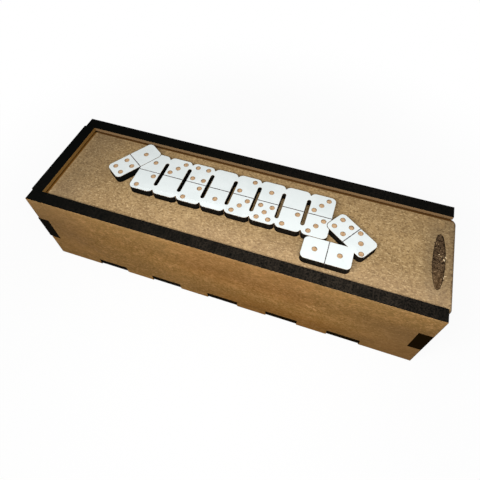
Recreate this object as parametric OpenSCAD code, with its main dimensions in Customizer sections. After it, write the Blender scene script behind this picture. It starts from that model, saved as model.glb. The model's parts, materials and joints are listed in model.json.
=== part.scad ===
// Domino storage box: a case of flat boards with finger joints, and a lid that
// slides in shallow grooves and carries a raised ornament of domino tiles.
// Millimetres, +Z up. The origin is the middle of the underside of the walls.
// +X runs along the box, the way the lid slides out, and -Y is the front.

/* [Box] */
// Outside length of the side walls
box_l = 200; // [180:1:300]
// Outside width over the side walls
box_w = 61; // [60:0.5:90]
// Height of the walls
box_h = 50.5; // [44:0.5:90]
// Thickness of the wall boards
board_t = 6.3; // [5:0.1:6.6]
// Thickness of the base
base_t = 5; // [3:0.1:6.3]
// How far the left end board stands out past the side walls
left_end_proud = 0.8; // [0:0.1:1.5]

/* [Finger joints] */
// Height of the finger at each corner
corner_finger_h = 16.8; // [10:0.1:22]
// Width of the tabs of the base
base_tab_w = 16.7; // [8:0.1:22]
// Spacing of the base tabs along the side walls
base_tab_pitch = 32.7; // [26:0.1:50]
// Least distance from the outermost base tab to the end of the wall
base_tab_margin = 20; // [15:1:40]
// How far the base tabs end short of the outer faces
base_tab_recess = 0.5; // [0:0.1:1.5]

/* [Lid] */
// Thickness of the lid
lid_t = 3.2; // [2.4:0.1:4.5]
// Height of the wall left standing above the lid groove
rail_h = 2.2; // [1.5:0.1:4]
// Depth of the lid groove in the wall boards
groove_d = 1.5; // [1:0.1:2.5]
// Free height above the lid in its groove
lid_top_gap = 1.3; // [0.3:0.1:2]
// Running gap under the lid
lid_under_gap = 0.1; // [0.05:0.05:0.3]
// Running gap beside the lid and at its inner end
lid_side_gap = 0.3; // [0.1:0.05:0.6]
// How far the lid stands out past the right end of the walls
lid_overhang = 2.1; // [0:0.1:6]
// Corner radius of the lid
lid_corner_r = 3; // [1:0.1:6]

/* [Thumb rest] */
// Width of the engraved thumb rest, along the box
thumb_w = 5.4; // [3:0.1:10]
// Length of the engraved thumb rest, across the lid
thumb_l = 29.8; // [16:0.1:40]
// Distance from the middle of the thumb rest to the outer edge of the lid
thumb_edge = 6.5; // [6:0.1:14]
// Depth of the thumb rest
thumb_d = 0.8; // [0.3:0.1:1.6]

/* [Ornament] */
// Thickness of the ornament's board
ornament_t = 4.2; // [2.4:0.1:5]
// Depth of the engraved pips and dividing lines
engrave_d = 0.4; // [0.2:0.1:1]
// Diameter of a pip
pip_d = 2.4; // [1.6:0.1:2.8]
// Width of a dividing line
divider_w = 0.3; // [0.2:0.1:1]
// Gap between ornament pieces that lie against each other
ornament_gap = 0.15; // [0.05:0.05:0.5]

/* [Row of tiles] */
// Number of standing tiles in the row
row_tiles = 8; // [4:1:8]
// Width of one tile of the row
row_tile_w = 12.6; // [11:0.1:13.5]
// Height of the row
row_tile_l = 24.8; // [21:0.1:27]
// Corner radius of the tiles of the row
row_tile_r = 2.6; // [1:0.1:4]
// Depth of the notches between the tiles, as a share of their corner radius
row_notch_share = 0.65; // [0.4:0.05:0.9]
// Width of the slots between the tiles
slot_w = 1.9; // [1:0.1:3]
// Length of the slots between the tiles
slot_l = 15.5; // [8:0.1:17]
// Middle of the row along the box
row_x = -5.4; // [-12:0.1:4]
// Middle of the row across the box
row_y = 4.2; // [3:0.1:7]
// Distance between pip rows along a tile of the row
row_pip_along = 3.6; // [3:0.1:4.2]
// Distance between pip columns across a tile of the row
row_pip_across = 2.9; // [2.6:0.1:3.4]

/* [Tile figures] */
// Corner radius of the tile figures
tile_r = 2.4; // [1:0.1:4]
// Length of the leaning tile
lean_tile_l = 26.4; // [22:0.1:27]
// Width of the leaning tile
lean_tile_w = 11.1; // [10.5:0.1:13]
// Angle of the leaning tile from the length of the box
lean_angle = 56.5; // [50:0.5:62]
// Distance from the left end of the row out to the middle of the leaning tile
lean_out = 4.9; // [4:0.1:5.5]
// Height of the middle of the leaning tile over the middle of the row
lean_up = 4.5; // [4:0.1:5]
// Length of the two fallen tiles
fallen_tile_l = 23; // [21:0.1:25]
// Width of the two fallen tiles
fallen_tile_w = 11.8; // [11:0.1:13]
// Distance from the right end of the row out to the middle of the flat fallen tile
flat_out = 1.7; // [0:0.1:3]
// Angle of the tilted one of the fallen tiles
tilted_angle = -34.5; // [-40:0.5:-25]
// Distance from the right end of the row out to the middle of the tilted tile
tilted_out = 10.5; // [10:0.1:12]
// Height of the middle of the tilted tile over the lower edge of the row
tilted_up = 6.5; // [5.5:0.1:7]
// Distance from a half tile's middle to its pips along the tile, as a share of its length
pip_along_share = 0.122; // [0.115:0.001:0.135]
// Distance from a half tile's middle to its pips across the tile, as a share of its width
pip_across_share = 0.234; // [0.21:0.001:0.25]
// Distance from the middle pip of a three to its outer pips, both ways
three_spread = 3.9; // [3.2:0.1:4.1]

/* [Hidden] */
$fn = 96;

cut_over = 1; // how far a cutter runs past the face it opens
half_l = box_l / 2;
half_w = box_w / 2;
side_y = half_w - board_t; // inner faces of the side walls
left_out = half_l + left_end_proud;
left_in = left_out - board_t; // inner face of the left end, left of the origin
right_in = half_l - board_t; // inner face of the right end

lid_top = box_h - rail_h - lid_top_gap;
lid_low = lid_top - lid_t;
groove_low = lid_low - lid_under_gap;
groove_top = box_h - rail_h;
lid_left = left_in + groove_d - lid_side_gap; // lid's inner edge, left of the origin
lid_right = half_l + lid_overhang;
lid_l = lid_left + lid_right;
lid_w = 2 * (side_y + groove_d - lid_side_gap);

finger_low = (box_h - corner_finger_h) / 2;
tab_reach = board_t - base_tab_recess;
tab_run = box_l - base_tab_w - 2 * base_tab_margin;
tab_count = floor(tab_run / base_tab_pitch) + 1;
tab_places = [for (i = [0 : tab_count - 1]) (i - (tab_count - 1) / 2) * base_tab_pitch];

row_l = row_tiles * row_tile_w;
row_left = row_x - row_l / 2;
row_right = row_x + row_l / 2;
row_low = row_y - row_tile_l / 2;
row_notch = row_notch_share * row_tile_r;
// Pips of each tile of the row, first the lower half
row_counts = [[2, 1], [0, 3], [2, 4], [1, 0], [3, 2], [5, 1], [2, 0], [3, 3]];
lean_size = [lean_tile_l, lean_tile_w];
lean_place = [row_left - lean_out, row_y + lean_up];
fallen_size = [fallen_tile_l, fallen_tile_w];
flat_place = [row_right + flat_out, row_low - ornament_gap - fallen_tile_w / 2];
tilted_place = [row_right + tilted_out, row_low + tilted_up];

// The pips of a half tile, in steps of the pip distances along and across it
function pip_steps(count) =
    count == 1 ? [[0, 0]] :
    count == 2 ? [[-1, 1], [1, -1]] :
    count == 3 ? concat(pip_steps(1), pip_steps(2)) :
    count == 4 ? [[-1, -1], [-1, 1], [1, -1], [1, 1]] :
    count == 5 ? concat(pip_steps(1), pip_steps(4)) :
    count == 6 ? [for (a = [-1, 0, 1], b = [-1, 1]) [a, b]] : [];

// A rectangle about the origin with round corners
module round_rect(l, w, r) {
    square([l - 2 * r, w], center = true);
    square([l, w - 2 * r], center = true);
    for (x = [-1, 1], y = [-1, 1])
        translate([x * (l / 2 - r), y * (w / 2 - r)]) circle(r);
}

// A tile seen from above at its place, with room for a gap all round
module tile_outline(size, place, angle, gap = 0) {
    translate(place) rotate(angle)
        round_rect(size.x + 2 * gap, size.y + 2 * gap, tile_r + gap);
}

// The pips of a tile that lies along X, first the half towards -X
module pips(l, counts, along, across, three_along, three_across) {
    for (side = [0, 1], step = pip_steps(counts[side])) {
        three = counts[side] == 3;
        translate([(side - 0.5) * l / 2 + step.x * (three ? three_along : along),
                   step.y * (three ? three_across : across)])
            circle(d = pip_d);
    }
}

// What is engraved in a tile figure at its place: its dividing line and pips
module figure_marks(size, place, angle, counts) {
    translate(place) rotate(angle) {
        square([divider_w, size.y + 2 * ornament_gap], center = true);
        pips(size.x, counts, pip_along_share * size.x, pip_across_share * size.y,
             three_spread, three_spread);
    }
}

// A flat piece of the ornament: child 0 is its outline, child 1 what is engraved
module ornament_piece() {
    color("whitesmoke") difference() {
        translate([0, 0, lid_top]) linear_extrude(ornament_t) children(0);
        translate([0, 0, lid_top + ornament_t - engrave_d])
            linear_extrude(engrave_d + cut_over) children(1);
    }
}

module base_panel() {
    color("burlywood") {
        translate([-left_in, -side_y, 0]) cube([left_in + right_in, 2 * side_y, base_t]);
        for (x = tab_places)
            translate([x - base_tab_w / 2, -side_y - tab_reach, 0])
                cube([base_tab_w, 2 * (side_y + tab_reach), base_t]);
        translate([-left_in - tab_reach, -base_tab_w / 2, 0])
            cube([left_in + right_in + 2 * tab_reach, base_tab_w, base_t]);
    }
}

// A side wall that stands on the front, with its outer face towards -Y
module side_wall() {
    color("peru") difference() {
        translate([-half_l, -half_w, 0]) cube([box_l, board_t, box_h]);
        for (x = tab_places)
            translate([x - base_tab_w / 2, -half_w - cut_over, -cut_over])
                cube([base_tab_w, board_t + 2 * cut_over, base_t + cut_over]);
        translate([-half_l - cut_over, -half_w - cut_over, finger_low])
            cube([half_l - left_in + cut_over, board_t + 2 * cut_over, corner_finger_h]);
        translate([right_in, -half_w - cut_over, finger_low])
            cube([board_t + cut_over, board_t + 2 * cut_over, corner_finger_h]);
        translate([-left_in - groove_d, -side_y - groove_d, groove_low])
            cube([left_in + groove_d + half_l + cut_over, groove_d + cut_over,
                  groove_top - groove_low]);
    }
}

module front_wall() {
    side_wall();
}

module back_wall() {
    mirror([0, 1, 0]) side_wall();
}

// An end board with its fingers and the notch for the base, its low X face at x
module end_board(x, top) {
    difference() {
        union() {
            translate([x, -side_y, 0]) cube([board_t, 2 * side_y, top]);
            translate([x, -half_w, finger_low]) cube([board_t, box_w, corner_finger_h]);
        }
        translate([x - cut_over, -base_tab_w / 2, -cut_over])
            cube([board_t + 2 * cut_over, base_tab_w, base_t + cut_over]);
    }
}

module left_end() {
    color("peru") difference() {
        end_board(-left_out, box_h);
        translate([-left_in - groove_d, -side_y - cut_over, groove_low])
            cube([groove_d + cut_over, 2 * (side_y + cut_over), groove_top - groove_low]);
    }
}

// The low end board, which the lid passes over
module right_end() {
    color("peru") end_board(right_in, groove_low);
}

module lid_panel() {
    color("tan") difference() {
        translate([(lid_right - lid_left) / 2, 0, lid_low])
            linear_extrude(lid_t) round_rect(lid_l, lid_w, lid_corner_r);
        translate([lid_right - thumb_edge, 0, lid_top - thumb_d])
            linear_extrude(thumb_d + cut_over)
                polygon([for (a = [0 : 360 / $fn : 359])
                    [thumb_w / 2 * cos(a), thumb_l / 2 * sin(a)]]);
    }
}

// The standing tiles with the webs between them and the slots through the webs
module row_outline() {
    difference() {
        union() {
            for (i = [0 : row_tiles - 1])
                translate([row_left + (i + 0.5) * row_tile_w, row_y])
                    round_rect(row_tile_w, row_tile_l, row_tile_r);
            translate([row_x, row_y])
                square([row_l - row_tile_w, row_tile_l - 2 * row_notch], center = true);
        }
        for (i = [1 : row_tiles - 1])
            translate([row_left + i * row_tile_w, row_y]) slot();
    }
}

// A slot with round ends that stands along Y
module slot() {
    square([slot_w, slot_l - slot_w], center = true);
    for (side = [-1, 1]) translate([0, side * (slot_l - slot_w) / 2]) circle(d = slot_w);
}

// The dividing line and the pips of the row
module row_marks() {
    translate([row_x, row_y])
        square([row_l + 2 * ornament_gap, divider_w], center = true);
    for (i = [0 : row_tiles - 1])
        translate([row_left + (i + 0.5) * row_tile_w, row_y]) rotate(90)
            pips(row_tile_l, row_counts[i], row_pip_along, row_pip_across,
                 row_pip_along, row_pip_across);
}

// The pierced row of tiles, cut back where the loose tiles lie against it
module tile_row() {
    ornament_piece() {
        difference() {
            row_outline();
            tile_outline(lean_size, lean_place, lean_angle, ornament_gap);
            tile_outline(fallen_size, tilted_place, tilted_angle, ornament_gap);
        }
        row_marks();
    }
}

module leaning_tile() {
    ornament_piece() {
        tile_outline(lean_size, lean_place, lean_angle);
        figure_marks(lean_size, lean_place, lean_angle, [4, 1]);
    }
}

// Two fallen tiles cut in one piece, the tilted one resting on the flat one
module fallen_tiles() {
    ornament_piece() {
        union() {
            tile_outline(fallen_size, flat_place, 0);
            tile_outline(fallen_size, tilted_place, tilted_angle);
        }
        union() {
            figure_marks(fallen_size, flat_place, 0, [1, 1]);
            figure_marks(fallen_size, tilted_place, tilted_angle, [4, 3]);
        }
    }
}

base_panel();
front_wall();
back_wall();
left_end();
right_end();
lid_panel();
tile_row();
leaning_tile();
fallen_tiles();
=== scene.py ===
"""Dresses the domino storage box: flat boards, a sliding lid and a raised tile ornament."""

import json
import math
import random

import bpy
from bpy.props import FloatProperty, FloatVectorProperty, IntProperty, PointerProperty
from bpy.types import Operator, Panel, PropertyGroup
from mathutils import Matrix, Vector


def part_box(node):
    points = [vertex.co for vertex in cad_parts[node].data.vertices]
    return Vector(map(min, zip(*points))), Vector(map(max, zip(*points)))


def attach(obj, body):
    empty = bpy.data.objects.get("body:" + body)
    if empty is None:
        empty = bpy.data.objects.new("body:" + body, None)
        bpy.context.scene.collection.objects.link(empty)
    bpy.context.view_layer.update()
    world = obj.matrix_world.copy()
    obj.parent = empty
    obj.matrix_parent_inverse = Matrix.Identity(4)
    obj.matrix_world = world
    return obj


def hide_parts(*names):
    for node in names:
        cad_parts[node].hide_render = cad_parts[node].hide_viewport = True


bl_info = {
    "name": "Domino Storage Box",
    "version": (1, 0, 0),
    "blender": (4, 5, 0),
    "location": "3D View > Sidebar > Domino Box",
    "description": "Boards, sliding lid and tile ornament of a domino storage box",
    "category": "Object",
}

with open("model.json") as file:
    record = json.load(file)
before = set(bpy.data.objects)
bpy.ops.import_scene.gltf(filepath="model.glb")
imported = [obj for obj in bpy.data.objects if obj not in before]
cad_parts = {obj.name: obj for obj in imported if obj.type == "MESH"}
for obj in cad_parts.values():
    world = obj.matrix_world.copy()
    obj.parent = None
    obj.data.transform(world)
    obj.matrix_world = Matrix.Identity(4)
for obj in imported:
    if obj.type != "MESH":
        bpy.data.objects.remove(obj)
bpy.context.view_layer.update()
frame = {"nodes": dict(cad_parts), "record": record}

MM = 0.001  # one millimetre, in metres
NEAR = 0.05 * MM  # how close a face lies to a plane to count as on it
LEVEL = 0.9  # a face looks along an axis where that part of its normal is above this
MERGE_GAP = 0.001 * MM  # corners closer than this are one corner
FLAT_ANGLE = math.radians(0.3)  # faces that meet at less than this are one flat face
SHARP_ANGLE = math.radians(40)  # edges sharper than this are softened
SMOOTH_ANGLE = math.radians(20)  # edges blunter than this are shaded smooth
NOISE_RANGE = (0.3, 0.7)  # nearly all of a noise texture's values lie between these

WALLS = {"front_wall": "Y", "back_wall": "Y", "left_end": "X", "right_end": "X"}
CASE_BOARDS = {"base_panel": "Z", **WALLS}
ORNAMENT = ("tile_row", "leaning_tile", "fallen_tiles")
ORNAMENT_MATERIALS = ("white_face", "char_z", "engraved_pip", "scorched_rim", "engraved_line", "line_rim")
LINE_CORNERS = 8  # the floor of an engraved line has no more corners than this, and a pip's has more
LINE_REACH = 0.4 * MM  # how far from its middle an engraved line's softened edges lie
FACE_SLOT, CHAR_SLOT, ARRIS_SLOT = range(3)  # slots of the materials on a board

# Tones are laid on by ramps. Each ramp is an axis, where it starts and ends in millimetres, and the
# shares there, which are 0 and 1 if not given. X runs to the right, Y to the back and Z up, and SIDE
# is the distance from the box's middle plane. The ramps of a tone are multiplied.
# Rubbed spots on the rims' tops, with a painted sheen that makes them strongest at the front right.
RUBBED_AND_SHEEN_RIMS = (
    ("X", -105, 60, 0.1, 1.0), ("X", 105, 70, 0.4, 1.0), ("Y", 10, -20, 0.28, 1.0), ("Z", 46.5, 49.5),
)
BROWNER_SIDES = (("Z", 48.5, 42.5), ("X", -90, 90, 0.35, 1.0))
INNER_STRIP = (("SIDE", 28, 26), ("X", -98, -96), ("Z", 47.5, 48.2))
WALL_TONES = (  # colour and ramps, from the lowest layer up
    ("lid_pale_and_painted_light", (("Z", 47.5, 50.2, 0.0, 0.1),)),  # paler along the top
    ("wall_end_shade", (("X", 50, 95, 0.0, 0.65), ("Z", 42, 28))),  # painted shade darkening the lower right end
    ("wall_end_shade", (("X", -60, -85, 0.0, 0.45), ("Z", 8, 22, 0.5, 1.0))),  # painted shade darkening the left end
    ("foot", (("X", -30, 20, 0.0, 0.48), ("X", 75, 50, 0.25, 1.0), ("Z", 22, 8))),  # painted shade, darker and redder, along the foot
    ("blush", (("X", -30, -8, 0.0, 0.14), ("X", 58, 36), ("Z", 14, 30))),  # redder patch
    ("lid_pale_and_painted_light", (("Z", 32, 44, 0.0, 0.06),)),  # painted sheen, paler upper part
    ("rail_shade", INNER_STRIP),  # painted shade on the strip above the lid
    ("rail_end_shade", (*INNER_STRIP, ("X", -94, -94.4))),  # the same painted shade at the left end
)
# Painted shade on the lid toward its left end, eased beside the rail, and soot with painted shade at its
# right edge.
PAINTED_SHADE_LEFT = (("X", -64, -88, 0.0, 0.32), ("X", -94.5, -90, 0.6, 1.0))
SOOT_AND_SHADE_RIGHT = (("X", 94, 101.5, 0.0, 0.4), ("Y", -18, -10, 0.3, 1.0))
# Painted light, pinker, on the lid toward its front.
PAINTED_LIGHT_FRONT = (("Y", -6, -21, 0.0, 0.12), ("X", -50, 0, 0.4, 1.0))
PALER_FLOOR = (("Y", 0, -12, 0.0, 0.06),)

# Strips of the lid that follow an outline: how far from it they start and are full, and the shares
# there, which are 0 and 1 if not given.
SOOT_ROUND_REST = (7.0 * MM, 0.5 * MM, 0.0, 0.33)
SCORCH_ROUND_REST = (0.2 * MM, 0.0)
SCORCHED_OUTLINE = (1.2 * MM, 0.1 * MM, 0.0, 0.8)
# Painted light on the lid beside the left end, against the shade there.
PAINTED_LIGHT_INNER_END = (2.5 * MM, 0.5 * MM, 0.0, 0.08)
GROOVE_STRIP = 0.3 * MM  # width of the strip that shows at a groove, darkened by painted shade with some scorch
RAGGED_SCORCH = 0.45 * MM  # how far the edge of a scorched strip strays

SCUFF = (  # strokes on the front wall: middle along and up and half sizes in millimetres, and turn
    ((44.7, 26.6), (1.7, 1.0), math.radians(42)),
    ((48.0, 25.2), (1.6, 0.8), math.radians(52)),
    ((47.2, 28.3), (0.9, 0.6), math.radians(-30)),
)
SCUFF_DEPTH = 4.0 * MM  # how far from the wall's face the strokes reach
RAGGED_SCUFF = 0.5  # how far a stroke's edge strays, as a share of its half size
SCUFF_FADE = (1.3, 0.4, 0.0, 0.85)  # where a stroke starts and is full, 1 being its edge, and its shares

FLAKES = (  # place along and across, and length, of the loose flakes, in millimetres
    ((98.1, 1.4), 1.6), ((98.6, 2.6), 1.3), ((96.6, 2.9), 0.8), ((95.6, 3.7), 0.7),
    ((98.8, -7.2), 1.3), ((98.0, -8.4), 0.5), ((95.2, 9.6), 0.4),
)
FLAKE_THICKNESS = 0.25 * MM
FLAKE_WIDTHS = (0.45, 0.7)  # the narrowest and widest, as shares of their length
FLAKE_LIFT = 0.08 * MM  # how high the middle of a flake lies over the floor
FLAKE_ROUGHNESS = 0.05 * MM
FLAKE_SEED = 28
MORE_FLAKES_LENGTH = 0.5  # length of any more flakes, in millimetres
MORE_FLAKES_REACH = (0.75, 0.85)  # how far out they lie, as shares of the hollow's half sizes

LAMPS = (  # name, its power setting, place, aim, width and depth in metres, and spread in degrees
    ("key", "key_power", (0.01, -0.115, 0.2), (-0.004, -0.02, 0.04), (0.21, 0.04), 180),
    ("side", "side_power", (0.175, -0.1, 0.25), (-0.04, 0.0, 0.03), (0.25, 0.25), 180),
    ("back_fill", "fill_power", (0.0, 0.33, 0.03), (0.0, 0.0, 0.03), (0.3, 0.03), 180),
    ("left_fill", "fill_power", (-0.4, 0.0, 0.03), (0.0, 0.0, 0.03), (0.2, 0.03), 180),
    ("slide", "slide_power", (0.25, -0.03, 0.25), (0.25, 0.0, 0.047), (0.04, 0.04), 60),
)
SENSOR_WIDTH = 36.0  # in millimetres
FLOOR_SIZE = 6.0  # in metres
FLOOR_DROP = 0.02 * MM  # how far the floor lies below the box
FLOOR_FADE = (0.1, 0.24)  # how far out the floor starts to whiten, and is white, in metres
WHITE = (1.0, 1.0, 1.0, 1.0)


def colour_property(name, description, default):
    """A colour that a user may change, with its alpha."""
    return FloatVectorProperty(
        name=name, description=description, subtype="COLOR", size=4,
        min=0.0, max=1.0, default=(*default, 1.0),
    )


def length_property(name, description, millimetres):
    """A length that a user may change."""
    return FloatProperty(
        name=name, description=description, unit="LENGTH", min=0.0,
        default=millimetres * MM, precision=5,
    )


def power_property(name, description, watts):
    """A lamp's power that a user may change."""
    return FloatProperty(name=name, description=description, unit="POWER", min=0.0, default=watts)


class DOMINO_PG_boards(PropertyGroup):
    """Colours and sizes of the fibreboard."""

    wall: colour_property("Wall", "Main colour of the wall boards", (0.434, 0.226, 0.067))
    wall_dark: colour_property("Wall dark", "Dark fibres of the wall boards", (0.256, 0.14, 0.037))
    wall_light: colour_property("Wall light", "Pale fibres of the wall boards", (0.7, 0.385, 0.15))
    lid: colour_property("Lid", "Main colour of the lid", (0.405, 0.266, 0.122))
    lid_dark: colour_property("Lid dark", "Dark fibres of the lid", (0.2, 0.125, 0.056))
    # Also laid on as painted sheen on the walls and as painted light beside the lid's left end.
    lid_pale_and_painted_light: colour_property("Lid light", "Pale fibres of the lid", (0.68, 0.488, 0.255))
    # Painted light toward the lid's front.
    lid_front_painted_light: colour_property("Lid front", "Pinker strip at the lid's right front", (0.7, 0.486, 0.33))
    char: colour_property("Char", "Charred cut edges", (0.0029, 0.0033, 0.003))
    # Also the painted sheen on the rims' tops.
    char_worn_and_sheen: colour_property("Char worn", "Rubbed spots of the rims", (0.03, 0.0235, 0.0175))
    scorch: colour_property("Scorch", "Browner char of the fingers and tabs", (0.0092, 0.0044, 0.0003))
    # Painted shade on the inner faces above the lid, here and at the left end.
    rail_shade: colour_property("Rail", "Inner faces of the rims above the lid", (0.28, 0.178, 0.088))
    rail_end_shade: colour_property("Rail end", "The same at the left end", (0.235, 0.125, 0.034))
    # Painted shade, with some scorch, on the lid's edge in its groove, here and at the left end.
    groove_shade_and_scorch: colour_property("Groove", "Scorched edge of the lid in its groove", (0.105, 0.045, 0.011))
    groove_end_shade_and_scorch: colour_property("Groove end", "The same at the left end", (0.2, 0.085, 0.014))
    # Painted shade at both ends of the walls.
    wall_end_shade: colour_property("Wall end", "Duller ends of the walls", (0.262, 0.144, 0.056))
    blush: colour_property("Blush", "Redder patch right of the walls' middle", (0.44, 0.12, 0.02))
    # Painted shade, darker and redder, along the walls' foot right of their middle.
    foot: colour_property("Foot", "Redder foot of the walls, right of their middle", (0.26, 0.095, 0.006))
    # Also painted shade toward the lid's ends.
    soot_and_shade: colour_property("Soot", "Haze beside the burnt edges of the lid", (0.11, 0.083, 0.056))
    engraved: colour_property("Engraved", "Burnt floor of the thumb rest", (0.099, 0.061, 0.032))
    engraved_dark: colour_property("Engraved dark", "Darkest grains", (0.022, 0.012, 0.006))
    engraved_light: colour_property("Engraved light", "Palest grains", (0.32, 0.21, 0.115))
    flake: colour_property("Flake", "Loose pale fibres in the thumb rest", (0.8, 0.66, 0.44))
    arris: length_property("Arris", "Width of the softened edges of the boards", 0.16)
    lid_corner: length_property("Lid corner", "Radius of the lid's corners", 3.0)


class DOMINO_PG_ornament(PropertyGroup):
    """Colours and sizes of the ornament."""

    white: colour_property("White", "Face of the ornament", (0.766, 0.812, 0.804))
    white_dull: colour_property("White dull", "Duller patches of the face", (0.726, 0.776, 0.769))
    rim: colour_property("Rim", "Thin scorched line along its edges", (0.32, 0.22, 0.13))
    pip: colour_property("Pip", "Engraved pips", (0.56, 0.365, 0.205))
    pip_dark: colour_property("Pip dark", "Darker grains of the pips", (0.41, 0.255, 0.135))
    pip_light: colour_property("Pip light", "Paler grains of the pips", (0.64, 0.46, 0.3))
    line: colour_property("Line", "Engraved lines across the tiles", (0.03, 0.024, 0.022))
    line_rim: colour_property("Line rim", "Thin grey scorch beside those lines", (0.57, 0.53, 0.53))
    arris: length_property("Arris", "Width of the softened edges of the ornament", 0.1)


class DOMINO_PG_thumb_rest(PropertyGroup):
    """Sizes of the engraved thumb rest's floor."""

    grain: length_property("Grain", "Size of the grains left by the engraving", 0.7)
    roughness: length_property("Roughness", "Height of the grains", 0.22)
    thickness: length_property("Thickness", "Thickness of the rough floor", 0.25)
    step: length_property("Step", "Spacing of the floor's mesh", 0.2)
    flakes: IntProperty(
        name="Flakes", description="How many pale flakes lie loose", default=len(FLAKES), min=0, max=30,
    )


class DOMINO_PG_stage(PropertyGroup):
    """Camera, lamps and floor."""

    lens: FloatProperty(name="Lens", description="Focal length", default=30.825, unit="CAMERA")
    shift_x: FloatProperty(name="Shift X", description="Sideways shift of the lens", default=-0.0322)
    shift_y: FloatProperty(name="Shift Y", description="Upward shift of the lens", default=-0.0668)
    camera_place: FloatVectorProperty(
        name="Camera place", description="Where the camera stands", unit="LENGTH",
        default=(0.04455, -0.11292, 0.20951), precision=5,
    )
    camera_turn: FloatVectorProperty(
        name="Camera turn", description="How the camera is turned", subtype="EULER", unit="ROTATION",
        default=tuple(math.radians(a) for a in (36.595, -0.363, 18.203)),
    )
    key_power: power_property("Key", "Power of the lamp over the front", 0.488)
    side_power: power_property("Side", "Power of the lamp to the right", 0.113)
    fill_power: power_property("Fill", "Power of each low lamp behind and to the left", 0.34)
    slide_power: power_property("Slide", "Power of the lamp over the slid-out lid", 0.055)
    world_light: FloatProperty(
        name="World", description="Strength of the light all round", default=0.147, min=0.0,
    )
    floor: colour_property("Floor", "Colour of the floor as seen", (0.85, 0.85, 0.85))
    floor_bounce: colour_property("Floor bounce", "Colour that the floor throws back", (0.2, 0.194, 0.186))
    floor_glow: FloatProperty(
        name="Floor glow", description="Share of plain white in the floor beside the box, as seen",
        default=0.92, min=0.0, max=1.0, subtype="FACTOR",
    )


def thumb_rest_space():
    """The lowest and highest corners of the thumb rest's hollow, read from the lid's mesh."""
    low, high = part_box("lid_panel")
    floor = [v.co for v in frame["nodes"]["lid_panel"].data.vertices
             if low.z + NEAR < v.co.z < high.z - NEAR]
    return (Vector([min(co[i] for co in floor) for i in range(3)]),
            Vector([max(co.x for co in floor), max(co.y for co in floor), high.z]))


# ---------------------------------------------------------------- shader parts


def new_group(name, inputs, outputs):
    """A shader node group with named sockets; returns its tree, input node and output node."""
    tree = bpy.data.node_groups.new(name, "ShaderNodeTree")
    for socket_name, socket_type, default in inputs:
        socket = tree.interface.new_socket(socket_name, in_out="INPUT", socket_type=socket_type)
        if default is not None:
            socket.default_value = default
    for socket_name, socket_type in outputs:
        tree.interface.new_socket(socket_name, in_out="OUTPUT", socket_type=socket_type)
    return tree, tree.nodes.new("NodeGroupInput"), tree.nodes.new("NodeGroupOutput")


def noise(tree, vector, scale, detail, rough=0.55, distort=0.0):
    """A noise texture's value on a vector socket; scale is in features per metre."""
    node = tree.nodes.new("ShaderNodeTexNoise")
    node.inputs["Scale"].default_value = scale
    node.inputs["Detail"].default_value = detail
    node.inputs["Roughness"].default_value = rough
    node.inputs["Distortion"].default_value = distort
    tree.links.new(vector, node.inputs["Vector"])
    return node.outputs["Fac"]


def stretch(tree, vector, scale, shift=(0.0, 0.0, 0.0), turn=(0.0, 0.0, 0.0)):
    """A vector socket scaled, turned and moved by a Mapping node."""
    node = tree.nodes.new("ShaderNodeMapping")
    node.inputs["Scale"].default_value = scale
    node.inputs["Location"].default_value = shift
    node.inputs["Rotation"].default_value = turn
    tree.links.new(vector, node.inputs["Vector"])
    return node.outputs["Vector"]


def oval(tree, vector, centre, half_sizes, turn):
    """How far out a vector lies from an oval's centre, 1 being its edge; turned about Y."""
    node = tree.nodes.new("ShaderNodeMapping")
    node.vector_type = "TEXTURE"
    node.inputs["Location"].default_value = centre
    node.inputs["Rotation"].default_value = (0.0, turn, 0.0)
    node.inputs["Scale"].default_value = half_sizes
    tree.links.new(vector, node.inputs["Vector"])
    return length_of(tree, node.outputs["Vector"])


def spread(tree, value, low, high, to_low=0.0, to_high=1.0):
    """A value spread from low..high to to_low..to_high, and held there."""
    node = tree.nodes.new("ShaderNodeMapRange")
    node.interpolation_type = "SMOOTHSTEP"
    for socket, number in zip(("From Min", "From Max", "To Min", "To Max"), (low, high, to_low, to_high)):
        node.inputs[socket].default_value = number
    tree.links.new(value, node.inputs["Value"])
    return node.outputs["Result"]


def length_of(tree, vector):
    """How long a vector socket is."""
    node = tree.nodes.new("ShaderNodeVectorMath")
    node.operation = "LENGTH"
    tree.links.new(vector, node.inputs[0])
    return node.outputs["Value"]


def maths(tree, kind, first, second=0.0):
    """A maths node on one or two sockets or numbers."""
    node = tree.nodes.new("ShaderNodeMath")
    node.operation = kind
    for socket, value in zip(node.inputs, (first, second)):
        if isinstance(value, (int, float)):
            socket.default_value = value
        else:
            tree.links.new(value, socket)
    return node.outputs["Value"]


def coordinates(tree, vector):
    """Sockets for the three numbers of a place, and for its distance from the box's middle plane."""
    node = tree.nodes.new("ShaderNodeSeparateXYZ")
    tree.links.new(vector, node.inputs["Vector"])
    at = {axis: node.outputs[axis] for axis in "XYZ"}
    at["SIDE"] = maths(tree, "ABSOLUTE", at["Y"])
    return at


def fade(tree, at, ramps):
    """The product of ramps along the axes."""
    shares = [spread(tree, at[axis], start * MM, end * MM, *ends) for axis, start, end, *ends in ramps]
    product = shares[0]
    for share in shares[1:]:
        product = maths(tree, "MULTIPLY", product, share)
    return product


def mix(tree, factor, first, second):
    """The mix of two colours, each a socket or a plain colour, by a factor socket."""
    node = tree.nodes.new("ShaderNodeMix")
    node.data_type = "RGBA"
    tree.links.new(factor, node.inputs["Factor"])
    for socket, value in zip([s for s in node.inputs if s.type == "RGBA"], (first, second)):
        if isinstance(value, bpy.types.NodeSocket):
            tree.links.new(value, socket)
        else:
            socket.default_value = value
    return next(s for s in node.outputs if s.type == "RGBA")


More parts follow.
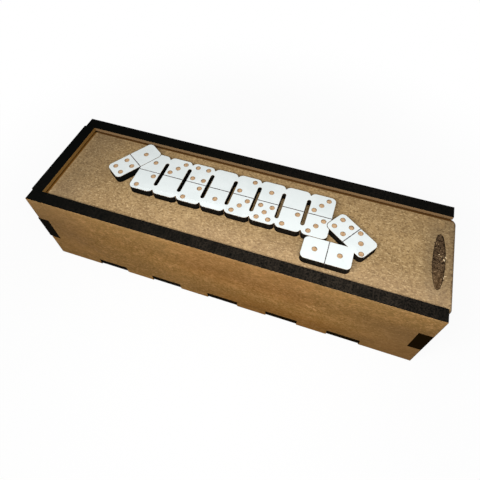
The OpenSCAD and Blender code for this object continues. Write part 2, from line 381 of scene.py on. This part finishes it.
def make_fibre_group():
    """Fibreboard: mottling, short fibres, long streaks along the board, and pale and dark flecks."""
    tree, source, sink = new_group(
        "fibreboard",
        [("Vector", "NodeSocketVector", None), ("Base", "NodeSocketColor", None),
         ("Dark", "NodeSocketColor", None), ("Light", "NodeSocketColor", None),
         ("Mottle", "NodeSocketFloat", 0.3), ("Fibres", "NodeSocketFloat", 0.5),
         ("Streaks", "NodeSocketFloat", 0.0), ("Flecks", "NodeSocketFloat", 0.5)],
        [("Color", "NodeSocketColor"), ("Roughness", "NodeSocketFloat"), ("Height", "NodeSocketFloat")],
    )
    vector = source.outputs["Vector"]
    clouds = noise(tree, vector, 60.0, detail=2.0)
    patches = noise(tree, stretch(tree, vector, (0.7, 0.7, 1.0), shift=(0.1, 0.3, 0.2)), 300.0, detail=3.0)
    grains = noise(tree, vector, 900.0, detail=3.0, rough=0.75)
    fibres = []
    for turn in (0.15, 1.2, 2.3):
        lying = stretch(tree, vector, (0.34, 1.0, 1.0), turn=(turn, turn, turn))
        fibres.append(noise(tree, lying, 1750.0, detail=2.0, distort=0.4))
    strands = maths(tree, "MAXIMUM", maths(tree, "MAXIMUM", fibres[0], fibres[1]), fibres[2])
    long_way = stretch(tree, vector, (0.16, 0.16, 1.0), shift=(0.2, 0.6, 0.1))
    streaks = noise(tree, long_way, 800.0, detail=3.0, rough=0.6)
    flecks = noise(tree, stretch(tree, vector, (0.6, 1.0, 1.0), shift=(0.3, 0.1, 0.2)), 1500.0, detail=1.0)

    layers = (  # value, where the tone starts and is full, its amount and its colour
        (clouds, 0.58, 0.42, "Mottle", "Dark"), (patches, 0.46, 0.34, "Mottle", "Dark"),
        (patches, 0.54, 0.68, "Mottle", "Light"), (streaks, 0.5, 0.36, "Streaks", "Dark"),
        (streaks, 0.54, 0.68, "Streaks", "Light"), (grains, 0.54, 0.36, "Fibres", "Dark"),
        (strands, 0.58, 0.74, "Fibres", "Light"), (flecks, 0.64, 0.76, "Flecks", "Light"),
        (flecks, 0.4, 0.28, "Flecks", "Dark"),
    )
    colour = source.outputs["Base"]
    for value, low, high, amount, tone in layers:
        share = maths(tree, "MULTIPLY", spread(tree, value, low, high), source.outputs[amount])
        colour = mix(tree, share, colour, source.outputs[tone])
    tree.links.new(colour, sink.inputs["Color"])
    tree.links.new(spread(tree, grains, *NOISE_RANGE, 0.66, 0.54), sink.inputs["Roughness"])
    tree.links.new(maths(tree, "ADD", grains, maths(tree, "MULTIPLY", strands, 0.6)), sink.inputs["Height"])
    return tree


def make_char_group():
    """A charred cut edge: soot, rubbed spots, and fine lines left across the board's thickness."""
    tree, source, sink = new_group(
        "charred_edge",
        [("Vector", "NodeSocketVector", None), ("Lines", "NodeSocketVector", None),
         ("Soot", "NodeSocketColor", None), ("Worn", "NodeSocketColor", None),
         ("Wear", "NodeSocketFloat", 1.0)],
        [("Color", "NodeSocketColor"), ("Roughness", "NodeSocketFloat"), ("Height", "NodeSocketFloat")],
    )
    clouds = noise(tree, source.outputs["Vector"], 120.0, detail=4.0, rough=0.6)
    grains = noise(tree, source.outputs["Vector"], 1400.0, detail=3.0, rough=0.7)
    lines = noise(tree, source.outputs["Lines"], 1500.0, detail=2.0)
    worn = maths(tree, "MULTIPLY", spread(tree, clouds, 0.3, 0.66, 0.45, 1.0),
                 spread(tree, grains, 0.36, 0.64, 0.0, 1.3))
    scored = maths(tree, "MULTIPLY", spread(tree, lines, 0.46, 0.7), 0.8)
    # Rubbed spots where the caller's mask lets them; that mask also lays on a painted sheen.
    rubbed_and_sheen = maths(tree, "MULTIPLY", maths(tree, "MAXIMUM", worn, scored), source.outputs["Wear"])
    tree.links.new(mix(tree, rubbed_and_sheen, source.outputs["Soot"], source.outputs["Worn"]), sink.inputs["Color"])
    tree.links.new(spread(tree, grains, *NOISE_RANGE, 0.52, 0.7), sink.inputs["Roughness"])
    tree.links.new(maths(tree, "ADD", lines, maths(tree, "MULTIPLY", grains, 0.5)), sink.inputs["Height"])
    return tree


def make_engraved_group():
    """A burnt, engraved floor: coarse grains from dark to pale."""
    tree, source, sink = new_group(
        "engraved",
        [("Vector", "NodeSocketVector", None), ("Base", "NodeSocketColor", None),
         ("Dark", "NodeSocketColor", None), ("Light", "NodeSocketColor", None)],
        [("Color", "NodeSocketColor"), ("Roughness", "NodeSocketFloat"), ("Height", "NodeSocketFloat")],
    )
    vector = source.outputs["Vector"]
    grains = noise(tree, vector, 900.0, detail=4.0, rough=0.7)
    specks = noise(tree, stretch(tree, vector, (1.0, 1.0, 1.0), shift=(0.5, 0.2, 0.7)), 1500.0, detail=2.0)
    colour = mix(tree, spread(tree, grains, 0.56, 0.4), source.outputs["Base"], source.outputs["Dark"])
    colour = mix(tree, spread(tree, specks, 0.56, 0.72), colour, source.outputs["Light"])
    tree.links.new(colour, sink.inputs["Color"])
    tree.links.new(spread(tree, grains, *NOISE_RANGE, 0.7, 0.9), sink.inputs["Roughness"])
    tree.links.new(grains, sink.inputs["Height"])
    return tree


def patterned_material(name, group, colours, bump, gloss, amounts=None):
    """A material whose colour, roughness and bump come from one of the pattern groups.

    The bump is in millimetres, and amounts sets the pattern's own shares. Returns the material's
    tree, the pattern node and the socket of Object coordinates."""
    material = bpy.data.materials.new(name)
    material.use_nodes = True
    tree = material.node_tree
    shader = tree.nodes["Principled BSDF"]
    shader.inputs["Specular IOR Level"].default_value = gloss
    place = tree.nodes.new("ShaderNodeTexCoord").outputs["Object"]
    pattern = tree.nodes.new("ShaderNodeGroup")
    pattern.node_tree = group
    tree.links.new(place, pattern.inputs["Vector"])
    for socket, value in {**colours, **(amounts or {})}.items():
        pattern.inputs[socket].default_value = value
    relief = tree.nodes.new("ShaderNodeBump")
    relief.inputs["Strength"].default_value = 0.6
    relief.inputs["Distance"].default_value = bump * MM
    tree.links.new(pattern.outputs["Color"], shader.inputs["Base Color"])
    tree.links.new(pattern.outputs["Roughness"], shader.inputs["Roughness"])
    tree.links.new(pattern.outputs["Height"], relief.inputs["Height"])
    tree.links.new(relief.outputs["Normal"], shader.inputs["Normal"])
    return tree, pattern, place


def overlay(tree, mask, colour):
    """Lays a colour over a material's own colours where a mask is 1."""
    base = tree.nodes["Principled BSDF"].inputs["Base Color"]
    tree.links.new(mix(tree, mask, base.links[0].from_socket, colour), base)


def char_material(group, axis, boards):
    """The charred edge of boards whose thickness lies along an axis.

    The rims' tops carry rubbed spots, brightened toward the front right as a painted sheen, and the char
    turns browner down the sides."""
    tree, pattern, place = patterned_material(
        f"char_{axis.lower()}", group, {"Soot": boards.char, "Worn": boards.char_worn_and_sheen},
        bump=0.06, gloss=0.002,
    )
    across_board = tuple(0.03 if name == axis else 1.0 for name in "XYZ")
    tree.links.new(stretch(tree, place, across_board), pattern.inputs["Lines"])
    at = coordinates(tree, place)
    # Painted sheen with the rubbed spots, strongest at the front right of the rims' tops.
    tree.links.new(fade(tree, at, RUBBED_AND_SHEEN_RIMS), pattern.inputs["Wear"])
    overlay(tree, fade(tree, at, BROWNER_SIDES), boards.scorch)


def wall_material(group, boards):
    """Oiled golden-brown faces of the case, with one light scuff on the front.

    Painted shade dulls both ends and darkens and reddens the foot right of the middle, a patch a little
    right of the middle is redder, and a painted sheen pales the upper part.
    A paler strip runs along the top outside, and painted shade browns one inside, above the lid."""
    tree, _, place = patterned_material(
        "wall_face", group, {"Base": boards.wall, "Dark": boards.wall_dark, "Light": boards.wall_light},
        bump=0.04, gloss=0.01, amounts={"Mottle": 0.4, "Fibres": 0.85, "Streaks": 0.22, "Flecks": 0.7},
    )
    at = coordinates(tree, place)
    for colour, ramps in WALL_TONES:
        overlay(tree, fade(tree, at, ramps), getattr(boards, colour))
    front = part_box("front_wall")[0].y
    grains = noise(tree, place, 1300.0, detail=2.0)
    ragged = spread(tree, grains, *NOISE_RANGE, -RAGGED_SCUFF, RAGGED_SCUFF)
    for (x, z), (long, wide), turn in SCUFF:
        half_sizes = (long * MM, SCUFF_DEPTH, wide * MM)
        stroke = oval(tree, place, (x * MM, front, z * MM), half_sizes, turn)
        overlay(tree, spread(tree, maths(tree, "ADD", stroke, ragged), *SCUFF_FADE), boards.wall_light)


def beyond_thumb_rest(tree, place):
    """How far outside the thumb rest's oval outline a place on the lid lies, in metres.

    It is exact on the outline and close to the truth near it."""
    low, high = thumb_rest_space()
    half = (high - low) / 2
    middle = (high + low) / 2
    scale = Vector((1.0 / half.x, 1.0 / half.y, 0.0))
    around = stretch(tree, place, scale, shift=-middle * scale)
    away = length_of(tree, around)
    steepness = length_of(tree, stretch(tree, around, scale))
    past = maths(tree, "MULTIPLY", maths(tree, "SUBTRACT", away, 1.0), away)
    return maths(tree, "DIVIDE", past, steepness)


def inside_lid_outline(tree, at, radius):
    """How far inside the lid's outline a place lies, in metres, and at most the corners' radius.

    The inner end, which stays in its groove, doesn't count."""
    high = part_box("lid_panel")[1]
    squares = []
    for value, edge in ((at["X"], high.x), (at["SIDE"], high.y)):
        past_centre = maths(tree, "MAXIMUM", maths(tree, "SUBTRACT", value, edge - radius), 0.0)
        squares.append(maths(tree, "POWER", past_centre, 2.0))
    return maths(tree, "SUBTRACT", radius, maths(tree, "SQRT", maths(tree, "ADD", *squares)))


def lid_material(group, boards):
    """Raw speckled faces of the lid, with painted shade toward both ends, soot as well at the right edge,
    and soot haze round the thumb rest.

    They are scorched along the thumb rest's rim and along their own outline; painted shade with some scorch
    darkens them at the grooves, and painted light pales the front and the inner end."""
    tree, _, place = patterned_material(
        "lid_face", group, {"Base": boards.lid, "Dark": boards.lid_dark, "Light": boards.lid_pale_and_painted_light},
        bump=0.05, gloss=0.03, amounts={"Mottle": 0.26, "Fibres": 0.76, "Flecks": 0.9},
    )
    at = coordinates(tree, place)
    beyond = beyond_thumb_rest(tree, place)
    # Painted shade toward both ends of the lid, with soot too at the right edge.
    ends = maths(tree, "ADD", fade(tree, at, PAINTED_SHADE_LEFT), fade(tree, at, SOOT_AND_SHADE_RIGHT))
    soot_and_shade_haze = maths(tree, "MAXIMUM", ends, spread(tree, beyond, *SOOT_ROUND_REST))
    overlay(tree, soot_and_shade_haze, boards.soot_and_shade)
    # Painted light, pinker, toward the lid's front.
    overlay(tree, fade(tree, at, PAINTED_LIGHT_FRONT), boards.lid_front_painted_light)

    grains = noise(tree, place, 900.0, detail=3.0)
    ragged = spread(tree, grains, *NOISE_RANGE, -RAGGED_SCORCH, RAGGED_SCORCH)
    from_rest = maths(tree, "ADD", beyond, ragged)
    overlay(tree, spread(tree, from_rest, *SCORCH_ROUND_REST), boards.engraved)
    from_outline = maths(tree, "ADD", inside_lid_outline(tree, at, boards.lid_corner), ragged)
    overlay(tree, spread(tree, from_outline, *SCORCHED_OUTLINE), boards.engraved)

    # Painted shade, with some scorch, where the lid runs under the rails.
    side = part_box("back_wall")[0].y
    overlay(tree, spread(tree, at["SIDE"], side - GROOVE_STRIP, side), boards.groove_shade_and_scorch)
    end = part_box("left_end")[1].x
    from_end = maths(tree, "SUBTRACT", at["X"], end)
    # Painted light beside the left end.
    overlay(tree, spread(tree, from_end, *PAINTED_LIGHT_INNER_END), boards.lid_pale_and_painted_light)
    # Painted shade, with some scorch, on the lid in the left end's groove.
    overlay(tree, spread(tree, from_end, GROOVE_STRIP, 0.0), boards.groove_end_shade_and_scorch)


def white_material(ornament):
    """The satin white face of the ornament, very slightly uneven."""
    material = bpy.data.materials.new("white_face")
    material.use_nodes = True
    tree = material.node_tree
    shader = tree.nodes["Principled BSDF"]
    shader.inputs["Specular IOR Level"].default_value = 0.35
    place = tree.nodes.new("ShaderNodeTexCoord").outputs["Object"]
    clouds = noise(tree, place, 90.0, detail=3.0)
    skin = noise(tree, place, 900.0, detail=2.0)
    colour = mix(tree, spread(tree, clouds, 0.42, 0.62), ornament.white, ornament.white_dull)
    relief = tree.nodes.new("ShaderNodeBump")
    relief.inputs["Strength"].default_value = 0.25
    relief.inputs["Distance"].default_value = 0.01 * MM
    tree.links.new(colour, shader.inputs["Base Color"])
    tree.links.new(spread(tree, skin, *NOISE_RANGE, 0.38, 0.48), shader.inputs["Roughness"])
    tree.links.new(skin, relief.inputs["Height"])
    tree.links.new(relief.outputs["Normal"], shader.inputs["Normal"])
    return material


def materials():
    """All the object's materials by name, made once."""
    made = bpy.data.materials
    if "char_z" in made:
        return made
    scene = bpy.context.scene
    boards = scene.domino_boards
    ornament = scene.domino_ornament
    fibre = make_fibre_group()
    char = make_char_group()
    engraved = make_engraved_group()
    for axis in "XYZ":
        char_material(char, axis, boards)
    wall_material(fibre, boards)
    lid_material(fibre, boards)
    white_material(ornament)
    for name, base, dark, light, bump, gloss in (
        ("engraved_board", boards.engraved, boards.engraved_dark, boards.engraved_light, 0.15, 0.03),
        ("engraved_pip", ornament.pip, ornament.pip_dark, ornament.pip_light, 0.05, 0.2),
        ("engraved_line", ornament.line, boards.engraved_dark, boards.engraved, 0.03, 0.05),
        ("line_rim", ornament.line_rim, ornament.line, ornament.white_dull, 0.02, 0.1),
        ("scorched_rim", ornament.rim, boards.engraved, ornament.pip, 0.02, 0.1),
        ("board_arris", boards.wall_light, boards.wall_dark, boards.lid, 0.03, 0.03),
        ("pale_flake", boards.flake, boards.lid, boards.lid_pale_and_painted_light, 0.03, 0.1),
    ):
        tree, _, place = patterned_material(
            name, engraved, {"Base": base, "Dark": dark, "Light": light}, bump=bump, gloss=gloss,
        )
        if name == "engraved_board":
            overlay(tree, fade(tree, coordinates(tree, place), PALER_FLOOR), boards.wall_light)
    return made


# ---------------------------------------------------------------- modelling parts


def select_only(piece):
    """Leaves one object selected and active, in object mode."""
    bpy.ops.object.select_all(action="DESELECT")
    piece.select_set(True)
    bpy.context.view_layer.objects.active = piece


def working_copy(node_name):
    """A clean copy of a CAD node: its triangles merged into whole flat faces."""
    mesh = frame["nodes"][node_name].data.copy()
    mesh.materials.clear()
    piece = bpy.data.objects.new(f"{node_name}_dressed", mesh)
    mesh.name = piece.name
    bpy.context.scene.collection.objects.link(piece)
    select_only(piece)
    bpy.ops.object.mode_set(mode="EDIT")
    bpy.ops.mesh.select_all(action="SELECT")
    bpy.ops.mesh.remove_doubles(threshold=MERGE_GAP)
    bpy.ops.mesh.dissolve_limited(angle_limit=FLAT_ANGLE)
    bpy.ops.object.mode_set(mode="OBJECT")
    return piece


def dress(piece, names, choose):
    """Gives each face one of the named materials; choose returns a name for a face."""
    made = materials()
    for name in names:
        piece.data.materials.append(made[name])
    for face in piece.data.polygons:
        face.material_index = names.index(choose(face))


def soften(piece, width, rim):
    """Takes the sharp edges off, with the material of the slot rim on the small new faces."""
    bevel = piece.modifiers.new("arris", "BEVEL")
    bevel.limit_method = "ANGLE"
    bevel.angle_limit = SHARP_ANGLE
    bevel.width = width
    bevel.segments = 2
    bevel.use_clamp_overlap = False
    bevel.material = rim
    select_only(piece)
    bpy.ops.object.modifier_apply(modifier=bevel.name)
    bpy.ops.object.shade_smooth_by_angle(angle=SMOOTH_ANGLE)


def pale_arris(piece, axis, slot, pick=max):
    """Gives the softened top edge of a wall's outer face the material of a slot.

    With pick=min it is the inner face's edge."""
    side = "XYZ".index(axis)
    reach = 0.5 * MM
    points = piece.data.vertices
    top = max(v.co.z for v in points)
    edge = pick((v.co[side] for v in points if v.co.z > top - reach), key=abs)
    for face in piece.data.polygons:
        sloping = 0.2 < face.normal.z < LEVEL and (face.normal[side] * edge > 0) == (pick is max)
        if sloping and face.center.z > top - reach and abs(face.center[side] - edge) < reach:
            face.material_index = slot


def line_floors(piece, slot):
    """Centre, direction and half length of each face with the material of a slot."""
    floors = []
    points = piece.data.vertices
    for face in piece.data.polygons:
        if face.material_index == slot:
            edges = [points[b].co - points[a].co for a, b in face.edge_keys]
            run = max(edges, key=lambda edge: edge.length)
            floors.append((face.center.copy(), run.normalized(), run.length / 2))
    return floors


def thin_lines(piece, lines, rim, beside, line):
    """Keeps engraved lines thin, though their edges are softened.

    Of the faces along them in the slot rim, the ones on top move to the slot beside, and the ones
    inside to the slot line."""
    for face in piece.data.polygons:
        if face.material_index != rim:
            continue
        for centre, run, half_length in lines:
            away = face.center - centre
            away.z = 0.0
            if abs(away.dot(run)) < half_length and away.cross(run).length < LINE_REACH:
                face.material_index = beside if face.normal.z > 0.6 else line


def finish_piece(piece, node_name):
    """Puts a dressed copy in its node's place."""
    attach(piece, body_of(node_name))
    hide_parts(node_name)


def body_of(node_name):
    """The body that a node belongs to."""
    bodies = frame["record"]["behaviour"]["bodies"]
    return next(body for body, members in bodies.items() if node_name in members)


def looks_along(face, axis):
    """Whether a face looks along an axis, either way."""
    return abs(face.normal["XYZ".index(axis)]) > LEVEL


def is_inside(face, low, high):
    """Whether a face's middle lies inside a box, clear of its sides."""
    return all(low[i] + NEAR < face.center[i] < high[i] - NEAR for i in range(3))


class DOMINO_OT_case_boards(Operator):
    """Dress the base, the walls and the ends: brown faces, charred edges, burnt grooves"""

    bl_idname = "domino.case_boards"
    bl_label = "Case Boards"

    def execute(self, context):
        boards = context.scene.domino_boards
        rail_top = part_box("front_wall")[1].z
        groove_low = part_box("right_end")[1].z
        for node_name, axis in CASE_BOARDS.items():
            char = f"char_{axis.lower()}"
            piece = working_copy(node_name)
            low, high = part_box(node_name)

            def choose(face):
                in_groove = (node_name in WALLS and is_inside(face, low, high)
                             and groove_low - NEAR < face.center.z < rail_top)
                return "wall_face" if looks_along(face, axis) and not in_groove else char

            dress(piece, ["wall_face", char, "board_arris"], choose)
            soften(piece, boards.arris, CHAR_SLOT)
            if node_name in WALLS:
                pale_arris(piece, axis, ARRIS_SLOT)
            if node_name == "left_end":
                pale_arris(piece, axis, FACE_SLOT, pick=min)
            finish_piece(piece, node_name)
        return {"FINISHED"}


class DOMINO_OT_lid(Operator):
    """Dress the sliding lid: speckled faces, charred edges and a burnt hollow"""

    bl_idname = "domino.lid"
    bl_label = "Sliding Lid"

    def execute(self, context):
        boards = context.scene.domino_boards
        piece = working_copy("lid_panel")
        low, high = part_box("lid_panel")

        def choose(face):
            if is_inside(face, low, high) and face.center.x > 0:  # the hollow is in the right half
                return "engraved_board"
            return "lid_face" if looks_along(face, "Z") else "char_z"

        dress(piece, ["lid_face", "char_z", "engraved_board"], choose)
        soften(piece, boards.arris, CHAR_SLOT)
        finish_piece(piece, "lid_panel")
        return {"FINISHED"}


def rough_floor(rest, low, high):
    """A slab over the thumb rest's hollow, a little larger, with grains on its top."""
    size = high - low
    middle = (low + high) / 2
    lift = low.z + rest.thickness
    top = (middle.x, middle.y, lift)
    foot = (middle.x, middle.y, low.z - MM)

    bpy.ops.object.select_all(action="DESELECT")
    bpy.ops.mesh.primitive_grid_add(
        x_subdivisions=round(size.x / rest.step) + 2, y_subdivisions=round(size.y / rest.step) + 2,
        size=1.0, location=top,
    )
    piece = bpy.context.active_object
    piece.name = piece.data.name = "thumb_rest_floor"
    bpy.ops.object.mode_set(mode="EDIT")
    bpy.ops.transform.resize(value=(size.x + MM, size.y + MM, 1.0), center_override=top)
    bpy.ops.object.mode_set(mode="OBJECT")
    bpy.ops.object.transform_apply(location=True)
    grains = bpy.data.textures.new("thumb_rest_grains", "CLOUDS")
    grains.noise_scale = rest.grain
    grains.noise_depth = 3
    rough = piece.modifiers.new("rough", "DISPLACE")
    rough.texture = grains
    rough.direction = "Z"
    rough.strength = 2.0 * rest.roughness  # half of it each way
    bpy.ops.object.modifier_apply(modifier=rough.name)

    bpy.ops.object.mode_set(mode="EDIT")
    bpy.ops.mesh.select_all(action="SELECT")
    bpy.ops.mesh.extrude_region_move(TRANSFORM_OT_translate={"value": (0.0, 0.0, foot[2] - lift)})
    bpy.ops.transform.resize(value=(1.0, 1.0, 0.0), center_override=foot)
    bpy.ops.mesh.select_all(action="SELECT")
    bpy.ops.mesh.normals_make_consistent(inside=False)
    bpy.ops.object.mode_set(mode="OBJECT")
    return piece


def trim_to_hollow(piece, low, high):
    """Cuts a slab to the oval outline of the thumb rest's hollow."""
    size = high - low
    middle = (low + high) / 2
    bpy.ops.object.select_all(action="DESELECT")
    bpy.ops.mesh.primitive_cylinder_add(
        vertices=128, radius=0.5, depth=2.0 * size.z, location=(middle.x, middle.y, high.z),
    )
    trim = bpy.context.active_object
    outline = (size.x + 2 * NEAR, size.y + 2 * NEAR, 1.0)
    bpy.ops.object.mode_set(mode="EDIT")
    bpy.ops.transform.resize(value=outline, center_override=trim.location)
    bpy.ops.object.mode_set(mode="OBJECT")
    cut = piece.modifiers.new("trim", "BOOLEAN")
    cut.operation = "INTERSECT"
    cut.object = trim
    select_only(piece)
    bpy.ops.object.modifier_apply(modifier=cut.name)
    bpy.data.objects.remove(trim)
    if not piece.data.polygons:
        raise RuntimeError("the thumb rest's floor came out empty")


def loose_flakes(rest, low, high):
    """Pale flakes on the thumb rest's floor and beside it, as a list of objects."""
    size = high - low
    middle = (low + high) / 2
    reach_x, reach_y = MORE_FLAKES_REACH
    draw = random.Random(FLAKE_SEED)
    flakes = []
    for number in range(rest.flakes):
        out_x, out_y = draw.uniform(-reach_x, reach_x), draw.uniform(-reach_y, reach_y)
        if number < len(FLAKES):
            (x, y), length = FLAKES[number]
            x, y = x * MM, y * MM
        else:
            x = middle.x + out_x * size.x / 2 * math.sqrt(1 - out_y ** 2)
            y = middle.y + out_y * size.y / 2
            length = MORE_FLAKES_LENGTH
        on_floor = math.hypot((x - middle.x) / size.x, (y - middle.y) / size.y) < 0.5
        level = low.z + rest.thickness if on_floor else high.z
        width = length * draw.uniform(*FLAKE_WIDTHS)
        bpy.ops.object.select_all(action="DESELECT")
        bpy.ops.mesh.primitive_ico_sphere_add(
            subdivisions=2, radius=0.5, location=(x, y, level + FLAKE_LIFT),
        )
        flake = bpy.context.active_object
        place = flake.location
        bpy.ops.object.mode_set(mode="EDIT")
        bpy.ops.transform.resize(value=(length * MM, width * MM, FLAKE_THICKNESS), center_override=place)
        bpy.ops.transform.rotate(value=draw.uniform(0.0, math.pi), orient_axis="Z", center_override=place)
        bpy.ops.transform.vertex_random(offset=FLAKE_ROUGHNESS, uniform=1.0, seed=number)
        bpy.ops.object.mode_set(mode="OBJECT")
        bpy.ops.object.transform_apply(location=True)
        flake.data.materials.append(materials()["pale_flake"])
        flakes.append(flake)
    return flakes


class DOMINO_OT_thumb_rest(Operator):
    """Lay the rough burnt floor of the thumb rest, with loose pale flakes on it"""

    bl_idname = "domino.thumb_rest"
    bl_label = "Thumb Rest"

    def execute(self, context):
        rest = context.scene.domino_thumb_rest
        low, high = thumb_rest_space()
        piece = rough_floor(rest, low, high)
        trim_to_hollow(piece, low, high)
        piece.data.materials.clear()
        piece.data.materials.append(materials()["engraved_board"])
        flakes = loose_flakes(rest, low, high)
        select_only(piece)
        for flake in flakes:
            flake.select_set(True)
        bpy.ops.object.join()
        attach(piece, "lid")
        return {"FINISHED"}


class DOMINO_OT_ornament(Operator):
    """Dress the tile row and the tile figures: white faces, charred edges, engraved pips"""

    bl_idname = "domino.ornament"
    bl_label = "Tile Ornament"

    def execute(self, context):
        ornament = context.scene.domino_ornament
        rim, beside, line = (
            ORNAMENT_MATERIALS.index(name) for name in ("scorched_rim", "line_rim", "engraved_line")
        )
        for node_name in ORNAMENT:
            piece = working_copy(node_name)
            low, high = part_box(node_name)

            def choose(face):
                if looks_along(face, "Z"):
                    if abs(face.center.z - high.z) < NEAR:
                        return "white_face"
                    if face.normal.z < 0:
                        return "char_z"
                    return "engraved_pip" if len(face.vertices) > LINE_CORNERS else "engraved_line"
                shallow = min(piece.data.vertices[i].co.z for i in face.vertices) > low.z + NEAR
                return "scorched_rim" if shallow else "char_z"

            dress(piece, ORNAMENT_MATERIALS, choose)
            lines = line_floors(piece, line)
            soften(piece, ornament.arris, rim)
            thin_lines(piece, lines, rim, beside, line)
            finish_piece(piece, node_name)
        return {"FINISHED"}


# ---------------------------------------------------------------- stage


def add_lamp(name, power, place, target, size, spread_angle):
    """A soft rectangular lamp at a place, aimed at a target, its width along the box."""
    lamp = bpy.data.lights.new(name, "AREA")
    lamp.shape = "RECTANGLE"
    lamp.size, lamp.size_y = size
    lamp.energy = power
    lamp.spread = math.radians(spread_angle)
    holder = bpy.data.objects.new(name, lamp)
    holder.location = place
    holder.rotation_euler = (Vector(target) - Vector(place)).to_track_quat("-Z", "Y").to_euler()
    holder.visible_camera = False
    bpy.context.scene.collection.objects.link(holder)


def add_camera(stage):
    """The camera, from where the box is looked at."""
    camera = bpy.data.cameras.new("camera")
    camera.lens = stage.lens
    camera.sensor_width = SENSOR_WIDTH
    camera.shift_x = stage.shift_x
    camera.shift_y = stage.shift_y
    holder = bpy.data.objects.new("camera", camera)
    holder.location = stage.camera_place
    holder.rotation_euler = stage.camera_turn
    bpy.context.scene.collection.objects.link(holder)
    bpy.context.scene.camera = holder


def seen_directly(tree):
    """A socket that is 1 for what the camera sees, straight or in gloss or glass."""
    path = tree.nodes.new("ShaderNodeLightPath").outputs
    seen = maths(tree, "MAXIMUM", path["Is Camera Ray"], path["Is Glossy Ray"])
    return maths(tree, "MAXIMUM", seen, path["Is Transmission Ray"])


def make_floor(stage):
    """A plain pale floor that keeps the object's shadow and goes white around it."""
    bpy.ops.object.select_all(action="DESELECT")
    bpy.ops.mesh.primitive_plane_add(size=FLOOR_SIZE, location=(0.0, 0.0, -FLOOR_DROP))
    floor = bpy.context.active_object
    floor.name = "floor"
    bpy.ops.object.transform_apply(location=True)
    material = bpy.data.materials.new("floor")
    material.use_nodes = True
    tree = material.node_tree
    shader = tree.nodes["Principled BSDF"]
    shader.inputs["Roughness"].default_value = 0.9
    shader.inputs["Specular IOR Level"].default_value = 0.0
    seen = seen_directly(tree)
    tree.links.new(mix(tree, seen, stage.floor_bounce, stage.floor), shader.inputs["Base Color"])
    glow = tree.nodes.new("ShaderNodeEmission")
    blend = tree.nodes.new("ShaderNodeMixShader")
    place = tree.nodes.new("ShaderNodeTexCoord").outputs["Object"]
    whiter = spread(tree, length_of(tree, place), *FLOOR_FADE, stage.floor_glow, 1.0)
    tree.links.new(maths(tree, "MULTIPLY", seen, whiter), blend.inputs["Fac"])
    tree.links.new(shader.outputs["BSDF"], blend.inputs[1])
    tree.links.new(glow.outputs["Emission"], blend.inputs[2])
    tree.links.new(blend.outputs["Shader"], tree.nodes["Material Output"].inputs["Surface"])
    floor.data.materials.append(material)


def make_world(stage):
    """Even light all round, seen as plain white."""
    world = bpy.data.worlds.new("studio")
    world.use_nodes = True
    tree = world.node_tree
    light = tree.nodes["Background"]
    light.inputs["Color"].default_value = WHITE
    light.inputs["Strength"].default_value = stage.world_light
    white = tree.nodes.new("ShaderNodeBackground")
    white.inputs["Color"].default_value = WHITE
    white.inputs["Strength"].default_value = 1.0
    blend = tree.nodes.new("ShaderNodeMixShader")
    tree.links.new(seen_directly(tree), blend.inputs["Fac"])
    tree.links.new(light.outputs["Background"], blend.inputs[1])
    tree.links.new(white.outputs["Background"], blend.inputs[2])
    tree.links.new(blend.outputs["Shader"], tree.nodes["World Output"].inputs["Surface"])
    bpy.context.scene.world = world


class DOMINO_OT_stage(Operator):
    """Set up the floor, the lamps and the camera"""

    bl_idname = "domino.stage"
    bl_label = "Stage"

    def execute(self, context):
        stage = context.scene.domino_stage
        add_camera(stage)
        make_floor(stage)
        make_world(stage)
        for name, power, *where in LAMPS:
            add_lamp(name, getattr(stage, power), *where)
        context.scene.view_settings.view_transform = "Standard"
        return {"FINISHED"}


class DOMINO_PT_panel(Panel):
    """Lists the pieces and the stage"""

    bl_label = "Domino Box"
    bl_idname = "DOMINO_PT_panel"
    bl_space_type = "VIEW_3D"
    bl_region_type = "UI"
    bl_category = "Domino Box"

    def draw(self, context):
        for operator in OPERATORS:
            self.layout.operator(operator.bl_idname)


GROUPS = {
    "domino_boards": DOMINO_PG_boards,
    "domino_ornament": DOMINO_PG_ornament,
    "domino_thumb_rest": DOMINO_PG_thumb_rest,
    "domino_stage": DOMINO_PG_stage,
}
OPERATORS = (
    DOMINO_OT_case_boards, DOMINO_OT_lid, DOMINO_OT_thumb_rest, DOMINO_OT_ornament, DOMINO_OT_stage,
)


def register():
    """Adds the classes, and the settings as properties of the scene."""
    for name, group in GROUPS.items():
        bpy.utils.register_class(group)
        setattr(bpy.types.Scene, name, PointerProperty(type=group))
    for cls in (*OPERATORS, DOMINO_PT_panel):
        bpy.utils.register_class(cls)


def unregister():
    """Takes out all that register added, the other way round."""
    for cls in (DOMINO_PT_panel, *reversed(OPERATORS)):
        bpy.utils.unregister_class(cls)
    for name, group in reversed(GROUPS.items()):
        delattr(bpy.types.Scene, name)
        bpy.utils.unregister_class(group)


def main():
    """Makes the box and its stage."""
    register()
    bpy.ops.domino.case_boards()
    bpy.ops.domino.lid()
    bpy.ops.domino.thumb_rest()
    bpy.ops.domino.ornament()
    bpy.ops.domino.stage()


if __name__ == "__main__":
    main()
